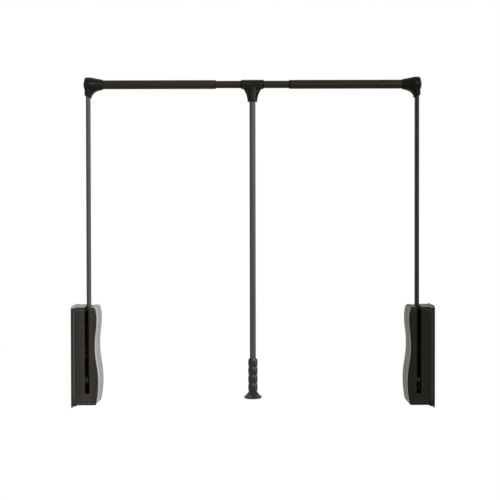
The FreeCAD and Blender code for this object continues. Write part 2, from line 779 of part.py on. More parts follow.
def make_rest_buffer():
    """Rubber sleeve on the buffer post; the upright arm leans against it."""
    span = (arm_x - buffer_length / 2, arm_x + buffer_length / 2)
    sleeve = hexagon_x(buffer_width, span, buffer_y, buffer_z)
    return sleeve.cut(hexagon_x(post_width + 2 * push_fit, span, buffer_y, buffer_z))


# ---------------------------------------------------------------- arm, elbow and tubes
def make_arm():
    """Flat-oval tube from just above the hub to the pocket in the elbow."""
    span = (pivot_z + hub_radius + arm_above_hub, rod_z + arm_seat_above_axis)
    arm = arm_section_bar(0, span).cut(arm_section_bar(-arm_wall, span))
    rivet_span = (arm_x - arm_thickness, arm_x + arm_thickness)
    return arm.cut(hexagon_x(rivet_width + 2 * push_fit, rivet_span, arm_y, pivot_z + rivet_rise))


def elbow_drum():
    """Round body about the rod's axis: shallow cone on the outer end, two tapers to the mouth."""
    rim_x = arm_x - elbow_end_rim
    profile = [
        (arm_x - elbow_end, 0),
        (arm_x - elbow_end, elbow_end_flat_radius),
        (rim_x, elbow_drum_radius - elbow_rim_round),
        (rim_x + elbow_rim_round, elbow_drum_radius),
        (arm_x + elbow_drum_taper_start, elbow_drum_radius),
        (arm_x + elbow_throat_out, elbow_mouth_radius + elbow_throat_step),
        (mouth_x - elbow_mouth_chamfer, elbow_mouth_radius),
        (mouth_x, elbow_mouth_radius - elbow_mouth_chamfer),
        (mouth_x, 0),
        (arm_x - elbow_end, 0),
    ]
    edges = lines_through([Vector(x, arm_y, rod_z + radius) for x, radius in profile])
    return outline_face(edges).revolve(Vector(0, arm_y, rod_z), along_x, 360)


def elbow_web():
    """Web between drum and socket, hollowed on its lower side by an arc."""
    socket_half = arm_thickness / 2 + elbow_wall
    top_drop = elbow_mouth_radius - elbow_web_lip
    start_drop = elbow_mouth_radius + elbow_web_lip

    def place(out, drop):
        return Vector(arm_x + out, arm_y - elbow_web_width / 2, rod_z - drop)

    web_end = elbow_reach - elbow_web_short
    hollow = Part.Arc(
        place(web_end, start_drop),
        place(elbow_hollow_out, elbow_hollow_drop),
        place(socket_half, elbow_hollow_foot),
    )
    edges = [hollow.toShape()]
    edges += lines_through([
        place(socket_half, elbow_hollow_foot),
        place(0, elbow_hollow_foot),
        place(0, 0),
        place(web_end, top_drop),
        place(web_end, start_drop),
    ])
    return outline_face(edges).extrude(along_y * elbow_web_width)


def elbow_skirt_cut():
    """Wedge that slants the socket's lower end, longer on its inner side."""
    half = arm_thickness / 2 + elbow_wall
    depth = arm_breadth + 4 * elbow_wall
    low = rod_z - elbow_skirt_inner - cut_past
    outline = [
        (arm_x + half, rod_z - elbow_skirt_inner),
        (arm_x - half, rod_z - elbow_skirt_outer),
        (arm_x - half, low),
        (arm_x + half, low),
    ]
    points = [Vector(x, arm_y - depth / 2, z) for x, z in outline]
    return polygon_prism(points, along_y * depth)


def elbow_screws_at(extra):
    """The two screws behind the elbow, made wider by extra: one holds the arm and one the tube."""
    arm_screw_z = rod_z - (elbow_drum_radius + elbow_skirt_outer) / 2
    arm_screw_y = (arm_back_y + push_fit, arm_back_y + elbow_wall - screw_sunk)
    tube_screw_x = mouth_x - tube_screw_from_mouth
    tube_screw_y = (arm_y + outer_tube_radius + push_fit, arm_y + elbow_mouth_radius)
    return [
        hexagon_y(screw_width + extra, arm_x, arm_screw_y, arm_screw_z),
        hexagon_y(screw_width + extra, tube_screw_x, tube_screw_y, rod_z),
    ]


def make_elbow():
    """Moulded corner: drum for the tube, socket for the arm and a hollow web between them."""
    socket = arm_section_bar(elbow_wall, (rod_z - elbow_skirt_inner, rod_z))
    body = elbow_drum().fuse(socket).fuse(elbow_web()).cut(elbow_skirt_cut())
    body = body.cut(arm_section_bar(push_fit, (rod_z - elbow_skirt_inner, rod_z + arm_seat_above_axis)))
    body = body.cut(bar_x(outer_tube_radius + push_fit, (tube_end_x, mouth_x), arm_y, rod_z))
    for screw in elbow_screws_at(2 * push_fit):
        body = body.cut(screw)
    return body.removeSplitter()


def make_elbow_screws():
    """Headless screws, both driven from behind."""
    return Part.makeCompound(elbow_screws_at(0))


def make_outer_tube():
    return tube_x(outer_tube_radius, tube_wall, (tube_end_x, bush_face_x - tube_bush_flange), arm_y, rod_z)


def make_tube_bush():
    """Flanged plastic bush in the end of the outer tube."""
    seat = bush_face_x - tube_bush_flange
    flange = bar_x(outer_tube_radius, (seat, bush_face_x), arm_y, rod_z)
    sleeve = bar_x(outer_tube_radius - tube_wall - push_fit, (seat - tube_bush_length, seat), arm_y, rod_z)
    bore = bar_x(inner_tube_radius + running_fit, (seat - tube_bush_length, bush_face_x), arm_y, rod_z)
    return flange.fuse(sleeve).cut(bore)


def make_inner_tube():
    return tube_x(inner_tube_radius, tube_wall, (-inner_tube_half, inner_tube_half), arm_y, rod_z)


# ---------------------------------------------------------------- tee, pull rod and grip
def make_tee_liner():
    """Plastic liner on the inner tube, with a lip at each end of the tee."""
    sleeve_half = tee_length / 2 + side_gap
    half = sleeve_half + liner_lip
    liner = bar_x(liner_radius, (-half, half), arm_y, rod_z)
    for start in (-half, sleeve_half):
        liner = liner.fuse(bar_x(liner_radius + liner_lip_rise, (start, start + liner_lip), arm_y, rod_z))
    return liner.cut(bar_x(inner_tube_radius + running_fit, (-half, half), arm_y, rod_z))


def tee_screw_bar(width):
    """Hexagonal bar through the back of the neck, as far as the pull rod."""
    y = (arm_y + pull_rod_radius + push_fit, arm_y + neck_radius - screw_sunk)
    return hexagon_y(width, 0, y, rod_z - tee_screw_drop)


def make_tee_joint():
    """Sleeve round the liner, with a finned neck that takes the pull rod."""
    half = tee_length / 2
    sleeve = bar_x(tee_radius, (-half, half), arm_y, rod_z)
    rims = [edge for edge in sleeve.Edges if isinstance(edge.Curve, Part.Circle)]
    sleeve = sleeve.makeChamfer(tee_chamfer, rims)
    foot = rod_z - neck_length
    neck = Part.makeCone(neck_radius, neck_radius + neck_taper, neck_length, Vector(0, arm_y, foot))

    def place(out, z):
        return Vector(out, arm_y - fin_gauge / 2, z)

    top = rod_z - tee_radius + fin_sunk
    edges = lines_through([place(-fin_half_top, top), place(fin_half_top, top)])
    edges += lines_through([place(-fin_half_foot, foot), place(fin_half_foot, foot)])
    for side in (-1, 1):
        high = place(side * fin_half_top, top)
        waist = place(side * fin_half_middle, rod_z - fin_middle_drop)
        low = place(side * fin_half_foot, foot + fin_straight)
        edges.append(Part.Arc(high, waist, low).toShape())
        edges += lines_through([low, place(side * fin_half_foot, foot)])
    fins = outline_face(edges).extrude(along_y * fin_gauge)
    tee = sleeve.fuse(neck).fuse(fins)
    tee = tee.cut(bar_x(liner_radius + running_fit, (-half, half), arm_y, rod_z))
    tee = tee.cut(bar_z(pull_rod_radius + push_fit, 0, arm_y, (foot, pull_rod_top_z)))
    return tee.cut(tee_screw_bar(screw_width + 2 * push_fit)).removeSplitter()


def make_tee_screw():
    """Headless screw through the back of the neck, onto the pull rod."""
    return tee_screw_bar(screw_width)


def make_pull_rod():
    span = (grip_seat_z, pull_rod_top_z)
    rod = bar_z(pull_rod_radius, 0, arm_y, span)
    return rod.cut(bar_z(pull_rod_radius - pull_rod_wall, 0, arm_y, span))


def make_grip():
    """Turned form: a row of barrel-shaped rings over a flared foot, with a bore for the rod."""

    def place(radius, z):
        return Vector(radius, arm_y, z)

    edges = []
    for ring in range(grip_rings):
        high = grip_top_z - ring * grip_pitch
        low = high - grip_pitch
        bulge = place(grip_neck_radius + grip_bulge, (high + low) / 2)
        edges.append(Part.Arc(place(grip_neck_radius, high), bulge, place(grip_neck_radius, low)).toShape())
    edge_top = grip_foot + flare_edge_height
    hollow_radius = grip_neck_radius + flare_middle_share * (flare_radius - grip_neck_radius)
    hollow = place(hollow_radius, (grip_flare_top_z + edge_top) / 2)
    flare = Part.Arc(place(grip_neck_radius, grip_flare_top_z), hollow, place(flare_radius, edge_top))
    edges.append(flare.toShape())
    edges += lines_through([
        place(flare_radius, edge_top),
        place(flare_radius, grip_foot + flare_edge_round),
        place(flare_radius - flare_edge_round, grip_foot),
        place(0, grip_foot),
        place(0, grip_top_z),
        place(grip_neck_radius, grip_top_z),
    ])
    grip = outline_face(edges).revolve(Vector(0, arm_y, 0), along_z, 360)
    return grip.cut(bar_z(pull_rod_radius + push_fit, 0, arm_y, (grip_seat_z, grip_top_z)))


# ---------------------------------------------------------------- build
side_makers = {
    "wall_plate": make_wall_plate,
    "base_shell": make_base_shell,
    "side_cover": make_side_cover,
    "front_fascia": make_front_fascia,
    "bearing_plate": make_bearing_plate,
    "spacer_posts": make_spacer_posts,
    "spring_bracket": make_spring_bracket,
    "pivot_pin": make_pivot_pin,
    "pivot_clip": make_pivot_clip,
    "pivot_bushes": make_pivot_bushes,
    "hub_sector": make_hub_sector,
    "hub_rivet": make_hub_rivet,
    "rack": make_rack,
    "rack_guide": make_rack_guide,
    "spring": make_spring,
    "spring_rod": make_spring_rod,
    "damper_body": make_damper_body,
    "damper_rod": make_damper_rod,
    "damper_nut": make_damper_nut,
    "rest_buffer": make_rest_buffer,
    "arm": make_arm,
    "elbow": make_elbow,
    "elbow_screws": make_elbow_screws,
    "outer_tube": make_outer_tube,
    "tube_bush": make_tube_bush,
}
middle_makers = {
    "inner_tube": make_inner_tube,
    "tee_liner": make_tee_liner,
    "tee_joint": make_tee_joint,
    "tee_screw": make_tee_screw,
    "pull_rod": make_pull_rod,
    "grip": make_grip,
}
for name, maker in side_makers.items():
    keep_both_sides(name, maker())
for name, maker in middle_makers.items():
    keep(name, maker())

os.makedirs("parts", exist_ok=True)
for name, shape in parts.items():
    shape.exportStep("parts/" + name + ".step")
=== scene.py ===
"""Looks of the pull down closet rod: materials for every piece, small mouldings, floor, light and camera.

Metres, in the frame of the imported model: X from the left wall to the right wall, -Y to the front, Z up.
"""
import json
import math

import bmesh
import bpy
from mathutils import Euler, Matrix, Vector


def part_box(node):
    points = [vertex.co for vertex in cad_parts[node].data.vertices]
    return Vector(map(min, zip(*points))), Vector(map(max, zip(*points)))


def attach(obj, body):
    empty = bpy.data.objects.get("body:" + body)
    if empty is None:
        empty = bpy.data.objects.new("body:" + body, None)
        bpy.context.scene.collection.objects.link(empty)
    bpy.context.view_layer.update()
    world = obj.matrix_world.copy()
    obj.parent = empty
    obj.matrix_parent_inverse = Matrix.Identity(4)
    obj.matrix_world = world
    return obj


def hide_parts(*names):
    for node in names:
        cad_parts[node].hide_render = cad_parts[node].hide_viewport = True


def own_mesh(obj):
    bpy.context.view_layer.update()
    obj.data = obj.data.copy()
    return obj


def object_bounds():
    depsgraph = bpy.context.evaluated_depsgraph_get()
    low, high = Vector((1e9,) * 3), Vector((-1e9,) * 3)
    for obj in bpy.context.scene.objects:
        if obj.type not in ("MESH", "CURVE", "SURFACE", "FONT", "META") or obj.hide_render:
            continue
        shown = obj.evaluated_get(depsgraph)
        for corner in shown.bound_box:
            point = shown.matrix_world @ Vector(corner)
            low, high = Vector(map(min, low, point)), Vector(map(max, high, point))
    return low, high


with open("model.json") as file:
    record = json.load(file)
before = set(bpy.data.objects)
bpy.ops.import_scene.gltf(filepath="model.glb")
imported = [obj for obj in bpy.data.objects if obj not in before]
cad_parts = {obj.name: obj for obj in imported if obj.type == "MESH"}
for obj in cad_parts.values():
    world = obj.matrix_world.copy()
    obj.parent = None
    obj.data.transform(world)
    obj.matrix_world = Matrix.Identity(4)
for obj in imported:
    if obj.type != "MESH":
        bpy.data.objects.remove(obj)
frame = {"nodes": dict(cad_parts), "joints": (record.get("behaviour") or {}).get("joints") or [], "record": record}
cad_low, cad_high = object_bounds()
nodes = frame["nodes"]
record = frame["record"]
joints = {joint["name"]: joint for joint in frame["joints"]}

# ---------------------------------------------------------------- camera
camera_place = (0.0090, -3.420, 0.476)
camera_lens = 93.0
camera_sensor = 36.0
camera_pitch = -1.08            # degrees; minus looks down
camera_yaw = 0.27               # degrees to the left
camera_roll = -0.10

# ---------------------------------------------------------------- light
# Each lamp: place, side of the square, power in watts
lamps = {
    "key": ((1.79, -6.24, 2.90), 1.3, 300.0),
    "side": ((6.48, -2.36, 1.64), 4.0, 218.0),
    "fill": ((-1.3, -1.5, 0.5), 1.8, 2.5),
    "rim": ((-0.5, 0.8, 3.2), 2.0, 14.0),
}
lamp_target = (0.0, 0.0, 0.42)
world_glow = 0.18

# ---------------------------------------------------------------- floor
floor_drop = 1.0                # under the housings' feet: the lowered lift with its rod hanging clears it
floor_radius = 4.0
floor_corners = 96
floor_colour = 0.72
floor_seen_glow = 0.90          # camera rays only, so that the floor shows white and keeps the shadow
floor_seen_colour = 0.30

# ---------------------------------------------------------------- edges and wear, and painted sheen, highlight and shade
smooth_angle = 32.0
edge_samples = 6
# Cosines between the true and the rounded normal where the wear starts and where it is full
edge_agreement = (0.995, 0.90)
slot_sheen_fade = (0.006, 0.018)    # distances from the slot's middle over which the painted sheen fades out
slot_shade_fade = (0.012, 0.024)    # and over which the painted shade comes in
cover_middle = 0.002            # y of the stretch of painted shade on the light covers
cover_shade_fade = (0.008, 0.026)   # distances from there over which it fades out
cover_highlight_fade = (-0.046, -0.022)  # y over which the front edge's painted highlight fades out

# ---------------------------------------------------------------- grain of the materials
# Scales are in features per metre, one for each axis where noise is stretched; depths are in metres
edge_patches = 90.0
plastic_clouds = 22.0
plastic_flow = (130.0, 130.0, 7.0)
plastic_specks = 1900.0
plastic_gloss = 60.0
plastic_grain = 1400.0
plastic_grain_depth = 0.00008
plastic_cells = 750.0
plastic_cell_depth = 0.00004
tube_streaks_across = 420.0
tube_streaks_along = 5.0
tube_streak_depth = 0.00003
tube_flecks = 2600.0
tube_fleck_depth = 0.00001
steel_scuffs = (900.0, 900.0, 40.0)
steel_scuff_depth = 0.00003
alloy_pits = 900.0
alloy_pit_depth = 0.00006
rubber_skin = 1700.0
rubber_skin_depth = 0.00002
rubber_bloom = 35.0

# ---------------------------------------------------------------- places on the left housing
# They are mirrored for the right one
pivot_x, pivot_y, pivot_z = joints["lift_swing"]["pos_m"]
slot_middle = -pivot_x          # distance of the slots from the middle of the lift
slot_half_width = 0.0062
slot_back = 0.0020              # y where the notch in the cover's top ends
to_front = Vector((0.0, -1.0, 0.0))
front_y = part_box("left_front_fascia")[0].y
crease_top = 0.2564             # z of the ribs beside the slot's top
front_heights = (0.060, 0.100, 0.140, 0.180, 0.220)  # z of the upright lines' middle points
foot_places = (-0.4480, -0.4360, -0.4240)  # x of the level lines' middle points
rib_corners = 10                # points round a rib's section
rib_sunk = 0.0004               # depth of a rib's hidden half
rib_end = 0.25                  # share of its section at a rib's ends
taper_step = 0.4                # share that a section gains from point to point after an end
seam_height = 0.00012           # of the joint lines over the front
lid_low = 0.2619                # underside of the crown, sunk into the cover's top
lid_rim = 0.3                   # share of the crown's height that is left at its ends
plate_corner_radius = 0.0080    # of the wall plate's top corners, and their middles
plate_corner_y = 0.0520
plate_corner_z = 0.2585
plate_cap_start = 20            # degrees round a corner where the bead starts; 90 is straight up
plate_cap_step = 10

# ---------------------------------------------------------------- slot trim
trim_front = -0.0568            # y of its two ends
trim_inside = 0.00022           # how far it stands inside the notch
trim_reach = 0.0013             # how far it reaches over the cover's top
trim_corner = 0.0016
trim_chamfer = 0.3 * trim_corner  # at the middle of each corner
trim_low = 0.2560
trim_lip = 0.2630               # underside of the stretch over the cover
trim_top = 0.26425

# ---------------------------------------------------------------- snap ring on the hub's drum
clip_radius = 0.0129            # just under the drum's surface
clip_start = -222.0             # degrees; 0 is the back and 90 the top
clip_turn = 264.0
clip_steps = 40
clip_end = 0.2                  # share of its section at the ring's ends

# ---------------------------------------------------------------- spring
spring_x, spring_y = -0.4555, 0.0170
spring_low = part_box("left_spring")[0].z
spring_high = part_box("left_spring")[1].z
spring_radius = 0.0095
spring_wire = (0.0030, 0.0024)  # across the coil and along it
spring_cut = 0.0004             # corners of the wire
spring_turns = 6.5
spring_turn_steps = 40
spring_closed = 1.02            # rise of each end turn, which lies on the next one, in heights of the wire


def srgb(red, green, blue):
    """Linear colour from 0..255 display values."""
    def linear(value):
        share = value / 255
        return share / 12.92 if share <= 0.04045 else ((share + 0.055) / 1.055) ** 2.4
    return (linear(red), linear(green), linear(blue), 1.0)


def shade(colour, factor):
    """A colour made paler or deeper."""
    return tuple(channel * factor for channel in colour[:3]) + (1.0,)


# ---------------------------------------------------------------- material building
class Surface:
    """One material's node tree, with short ways to add nodes and join them.

    Every material rounds its edges in the shading over edge_radius and knows where those edges are.
    """

    def __init__(self, name, roughness, metallic=0.0, specular=0.5, edge_radius=0.0008):
        self.material = bpy.data.materials.new(name)
        self.material.use_nodes = True
        self.tree = self.material.node_tree
        self.shader = self.tree.nodes["Principled BSDF"]
        self.shader.inputs["Roughness"].default_value = roughness
        self.shader.inputs["Metallic"].default_value = metallic
        self.shader.inputs["Specular IOR Level"].default_value = specular
        self.place = self.add("ShaderNodeTexCoord").outputs["Object"]
        rounded = self.add("ShaderNodeBevel", samples=edge_samples)
        rounded.inputs["Radius"].default_value = edge_radius
        self.normal = rounded.outputs["Normal"]
        self.join(self.normal, self.shader.inputs["Normal"])

    def add(self, kind, **values):
        node = self.tree.nodes.new(kind)
        for key, value in values.items():
            setattr(node, key, value)
        return node

    def join(self, output, target):
        self.tree.links.new(output, target)

    def stretched(self, scale):
        """Object coordinates scaled per axis, so that noise runs in streaks."""
        mapping = self.add("ShaderNodeMapping")
        mapping.inputs["Scale"].default_value = scale
        self.join(self.place, mapping.inputs["Vector"])
        return mapping.outputs["Vector"]

    def noise(self, scale, detail=3.0, rough=0.55, place=None):
        """Fractal noise; scale is in features per metre."""
        node = self.add("ShaderNodeTexNoise")
        node.inputs["Scale"].default_value = scale
        node.inputs["Detail"].default_value = detail
        node.inputs["Roughness"].default_value = rough
        self.join(place or self.place, node.inputs["Vector"])
        return node.outputs["Fac"]

    def cells(self, scale):
        """Distance to the nearest of many scattered points; scale is in points per metre."""
        node = self.add("ShaderNodeTexVoronoi")
        node.inputs["Scale"].default_value = scale
        self.join(self.place, node.inputs["Vector"])
        return node.outputs["Distance"]

    def coordinate(self, axis):
        """One object coordinate, in metres."""
        split = self.add("ShaderNodeSeparateXYZ")
        self.join(self.place, split.inputs[0])
        return split.outputs[axis]

    def distance(self, value, middle):
        """How far a value lies from a middle, on either side."""
        offset = self.add("ShaderNodeMath", operation="SUBTRACT")
        self.join(value, offset.inputs[0])
        offset.inputs[1].default_value = middle
        size = self.add("ShaderNodeMath", operation="ABSOLUTE")
        self.join(offset.outputs["Value"], size.inputs[0])
        return size.outputs["Value"]

    def spread(self, value, low, high, to_low, to_high):
        """Maps a value from one range to another."""
        node = self.add("ShaderNodeMapRange")
        node.inputs["From Min"].default_value = low
        node.inputs["From Max"].default_value = high
        node.inputs["To Min"].default_value = to_low
        node.inputs["To Max"].default_value = to_high
        self.join(value, node.inputs["Value"])
        return node.outputs["Result"]

    def mix(self, share, first, second):
        """Mixes two colours; each is a colour or an output."""
        node = self.add("ShaderNodeMix", data_type="RGBA")
        self.join(share, node.inputs["Factor"])
        for value, socket in ((first, node.inputs[6]), (second, node.inputs[7])):
            if isinstance(value, tuple):
                socket.default_value = value
            else:
                self.join(value, socket)
        return node.outputs[2]

    def edges(self, strength=1.0):
        """Share up to strength along edges, where the rounded normal leaves the true one, in patches."""
        true_normal = self.add("ShaderNodeNewGeometry").outputs["Normal"]
        agree = self.add("ShaderNodeVectorMath", operation="DOT_PRODUCT")
        self.join(true_normal, agree.inputs[0])
        self.join(self.normal, agree.inputs[1])
        worn = self.spread(agree.outputs["Value"], *edge_agreement, 0.0, strength)
        patchy = self.spread(self.noise(edge_patches, 4.0, 0.6), 0.35, 0.6, 0.35, 1.0)
        both = self.add("ShaderNodeMath", operation="MULTIPLY")
        self.join(worn, both.inputs[0])
        self.join(patchy, both.inputs[1])
        return both.outputs["Value"]

    def colour(self, output):
        self.join(output, self.shader.inputs["Base Color"])

    def roughness(self, output):
        self.join(output, self.shader.inputs["Roughness"])

    def bump(self, height, depth):
        """Bump from a height output, on top of what is there; depth is in metres."""
        node = self.add("ShaderNodeBump")
        node.inputs["Strength"].default_value = 1.0
        node.inputs["Distance"].default_value = depth
        self.join(height, node.inputs["Height"])
        self.join(self.shader.inputs["Normal"].links[0].from_socket, node.inputs["Normal"])
        self.join(node.outputs["Normal"], self.shader.inputs["Normal"])


def slot_sheen_and_shade(surface, base, colour):
    """Painted sheen, paler beside the arm's slot, and painted shade, deeper far from it."""
    from_centre = surface.distance(surface.coordinate("X"), 0.0)
    away = surface.distance(from_centre, slot_middle)
    base = surface.mix(surface.spread(away, *slot_shade_fade, 0.0, 0.3), base, shade(colour, 0.76))
    return surface.mix(surface.spread(away, *slot_sheen_fade, 0.6, 0.0), base, shade(colour, 1.35))


def cover_highlight_and_shade(surface, base, colour):
    """Painted highlight, paler towards the front edge where the cover's rim catches the light, and faint painted
    shade, deeper across its middle.
    """
    depth = surface.coordinate("Y")
    away = surface.distance(depth, cover_middle)
    base = surface.mix(surface.spread(away, *cover_shade_fade, 0.6, 0.0), base, shade(colour, 0.86))
    return surface.mix(surface.spread(depth, *cover_highlight_fade, 1.0, 0.0), base, shade(colour, 1.36))


def moulded_plastic(name, colour, roughness, grain=1.0, specular=0.3, mottle=0.08, edge_tone=1.5,
                    edge_radius=0.0010, painted_light=None):
    """Moulded plastic: faint clouds and flow streaks along the height, fine eroded grain, paler edges."""
    surface = Surface(name, roughness, specular=specular, edge_radius=edge_radius)
    cloud = surface.spread(surface.noise(plastic_clouds, 4.0), 0.35, 0.65, 0.0, 1.0)
    base = surface.mix(cloud, shade(colour, 1 - mottle), shade(colour, 1 + mottle))
    flow = surface.noise(1.0, 3.0, 0.5, surface.stretched(plastic_flow))
    base = surface.mix(surface.spread(flow, 0.5, 0.75, 0.0, 0.6), base, shade(colour, 1 + 2 * mottle))
    speck = surface.spread(surface.noise(plastic_specks, 2.0), 0.45, 0.75, 0.0, 0.35)
    base = surface.mix(speck, base, shade(colour, 0.72))
    # Painted sheen, highlight and shade, for the finishes that ask for them
    if painted_light:
        base = painted_light(surface, base, colour)
    surface.colour(surface.mix(surface.edges(), base, shade(colour, edge_tone)))
    gloss = surface.noise(plastic_gloss)
    surface.roughness(surface.spread(gloss, 0.3, 0.7, roughness - 0.06, roughness + 0.06))
    surface.bump(surface.noise(plastic_grain, 3.0, 0.6), plastic_grain_depth * grain)
    surface.bump(surface.cells(plastic_cells), plastic_cell_depth * grain)
    return surface.material


def coated_tube(name, colour, along, roughness, metallic):
    """Metallic coating over drawn tube, with faint streaks along the tube; along is an axis index."""
    surface = Surface(name, roughness, metallic, specular=0.08, edge_radius=0.0006)
    scale = [tube_streaks_across] * 3
    scale[along] = tube_streaks_along
    streaks = surface.noise(1.0, 5.0, 0.6, surface.stretched(scale))
    fleck = surface.noise(tube_flecks, 1.0)
    base = surface.mix(surface.spread(streaks, 0.3, 0.7, 0.0, 1.0), shade(colour, 0.86), shade(colour, 1.14))
    base = surface.mix(surface.spread(fleck, 0.55, 0.8, 0.0, 0.5), base, shade(colour, 1.5))
    surface.colour(surface.mix(surface.edges(0.8), base, shade(colour, 1.8)))
    surface.roughness(surface.spread(streaks, 0.3, 0.7, roughness - 0.05, roughness + 0.07))
    surface.bump(streaks, tube_streak_depth)
    surface.bump(fleck, tube_fleck_depth)
    return surface.material


def sheet_steel(name, colour, roughness, spangle=140.0, metallic=0.9):
    """Zinc plated or plain steel with spangle and light scuffs."""
    surface = Surface(name, roughness, metallic, edge_radius=0.0004)
    grain = surface.cells(spangle)
    base = surface.mix(surface.spread(grain, 0.0, 0.8, 0.0, 1.0), shade(colour, 1.12), shade(colour, 0.86))
    scuffs = surface.noise(1.0, 6.0, 0.7, surface.stretched(steel_scuffs))
    base = surface.mix(surface.spread(scuffs, 0.58, 0.8, 0.0, 0.6), base, shade(colour, 0.6))
    surface.colour(surface.mix(surface.edges(), base, shade(colour, 1.4)))
    surface.roughness(surface.spread(scuffs, 0.3, 0.75, roughness - 0.08, roughness + 0.14))
    surface.bump(scuffs, steel_scuff_depth)
    return surface.material


def cast_alloy(name, colour, roughness):
    """Tumbled die casting."""
    surface = Surface(name, roughness, metallic=0.85, edge_radius=0.0006)
    pits = surface.noise(alloy_pits, 4.0, 0.65)
    base = surface.mix(surface.spread(pits, 0.35, 0.65, 0.0, 1.0), shade(colour, 0.8), shade(colour, 1.15))
    surface.colour(surface.mix(surface.edges(), base, shade(colour, 1.5)))
    surface.roughness(surface.spread(pits, 0.3, 0.7, roughness - 0.1, roughness + 0.1))
    surface.bump(pits, alloy_pit_depth)
    return surface.material


def soft_rubber(name, colour, roughness, specular=0.45):
    """Soft satin moulding: fine skin, faint bloom, slightly worn crests."""
    surface = Surface(name, roughness, specular=specular, edge_radius=0.0003)
    skin = surface.noise(rubber_skin, 3.0, 0.6)
    bloom = surface.noise(rubber_bloom, 4.0)
    base = surface.mix(surface.spread(bloom, 0.35, 0.7, 0.0, 1.0), shade(colour, 0.88), shade(colour, 1.18))
    surface.colour(surface.mix(surface.edges(), base, shade(colour, 1.6)))
    surface.roughness(surface.spread(skin, 0.3, 0.7, roughness - 0.05, roughness + 0.07))
    surface.bump(skin, rubber_skin_depth)
    return surface.material


# ---------------------------------------------------------------- finishes
# What both sides of the lift have in common; each material adds its own colour, and black its specular level
# The front's and the cover's finishes paint sheen, highlight and shade into their plastic
front_finish = {"roughness": 0.55, "specular": 0.08, "edge_radius": 0.0025, "painted_light": slot_sheen_and_shade}
cover_finish = {"roughness": 0.6, "mottle": 0.03, "specular": 0.05, "edge_tone": 1.25, "edge_radius": 0.0025,
                "painted_light": cover_highlight_and_shade}
lid_finish = {"roughness": 0.6, "mottle": 0.03, "specular": 0.05, "edge_tone": 1.2, "edge_radius": 0.0012}
rib_finish = {"roughness": 0.5, "specular": 0.08, "edge_tone": 1.1, "edge_radius": 0.0003}
black_finish = {"roughness": 0.38, "edge_tone": 1.6, "edge_radius": 0.0006}
tee_finish = {"roughness": 0.24, "grain": 0.6, "specular": 0.12, "edge_tone": 1.6, "edge_radius": 0.0006}
natural_finish = {"roughness": 0.35, "grain": 0.4, "mottle": 0.05, "edge_tone": 1.1}
arm_finish = {"along": 2, "roughness": 0.38, "metallic": 0.5}
rod_finish = {"along": 0, "roughness": 0.50, "metallic": 0.25}

materials = {
    "dark_plastic": moulded_plastic("dark_plastic", srgb(49, 46, 42), **front_finish),
    "light_plastic": moulded_plastic("light_plastic", srgb(174, 175, 169), **cover_finish),
    "black_plastic": moulded_plastic("black_plastic", srgb(21, 18, 13), specular=0.07, **black_finish),
    "natural_plastic": moulded_plastic("natural_plastic", srgb(215, 210, 195), **natural_finish),
    "zinc_steel": sheet_steel("zinc_steel", srgb(120, 120, 118), 0.42),
    "black_steel": sheet_steel("black_steel", srgb(24, 24, 23), 0.5, 300.0, metallic=0.3),
    "screw_steel": sheet_steel("screw_steel", srgb(150, 150, 147), 0.3, 900.0),
    "spring_steel": sheet_steel("spring_steel", srgb(60, 60, 62), 0.34, 1200.0),
    # dark_metal and cast_metal are deeper than bare steel and casting, partly for a dark finish and partly as
    # painted shade that keeps the arm's slot black inside
    "dark_metal": sheet_steel("dark_metal", srgb(34, 34, 34), 0.45, 800.0, metallic=0.5),
    "black_screw": sheet_steel("black_screw", srgb(32, 32, 32), 0.38, 1200.0),
    "cast_metal": cast_alloy("cast_metal", srgb(46, 46, 46), 0.55),
    "black_rubber": soft_rubber("black_rubber", srgb(26, 26, 26), 0.6),
    "grip_rubber": soft_rubber("grip_rubber", srgb(8, 8, 7), 0.26, specular=0.32),
    "dark_tube": coated_tube("dark_tube", srgb(70, 66, 63), **arm_finish),
    "bronze_tube": coated_tube("bronze_tube", srgb(41, 34, 28), **rod_finish),
}
# Shaded copies of the materials for the right side's pieces: deeper in tone than the left side's, as painted shade
shaded_right_materials = {
    "dark_plastic": moulded_plastic("dark_plastic_right", srgb(18, 17, 13), **front_finish),
    "light_plastic": moulded_plastic("light_plastic_right", srgb(162, 163, 153), **cover_finish),
    "dark_tube": coated_tube("dark_tube_right", srgb(36, 34, 31), **arm_finish),
    "bronze_tube": coated_tube("bronze_tube_right", srgb(35, 28, 22), **rod_finish),
    "black_plastic": moulded_plastic("black_plastic_right", srgb(13, 13, 6), specular=0.055, **black_finish),
}
# Copies of the cover's plastic for the crowns and plate caps, with painted light: a shade paler on the left as a
# lit top, far deeper on the right as painted shade
lid_plastic = {
    "left": moulded_plastic("lid_plastic", srgb(182, 183, 177), **lid_finish),
    "right": moulded_plastic("lid_plastic_right", srgb(111, 110, 98), **lid_finish),
}
# The snap ring's paler steel is a painted highlight on the hub's drum
clip_steel_painted_highlight = sheet_steel("clip_steel_painted_highlight", srgb(84, 84, 82), 0.45, 900.0, metallic=0.6)
# The raised ribs of the front carry a painted highlight: paler than the front, for the light that catches its rim;
# the right ones are deeper as painted shade
rubbed_plastic = {
    "left": moulded_plastic("rubbed_plastic", srgb(74, 71, 66), **rib_finish),
    "right": moulded_plastic("rubbed_plastic_right", srgb(44, 43, 36), **rib_finish),
}
# The tee is smoother than the elbows: its neck shows a pale streak
tee_plastic = moulded_plastic("tee_plastic", srgb(16, 15, 4), **tee_finish)


def finish_for(slot, name):
    """The material of a slot for a piece, or its own version for the tee, and the copy with painted shade for a
    right hand piece.
    """
    if name == "tee_joint":
        return tee_plastic
    if name.startswith("right_"):
        return shaded_right_materials.get(slot, materials[slot])
    return materials[slot]


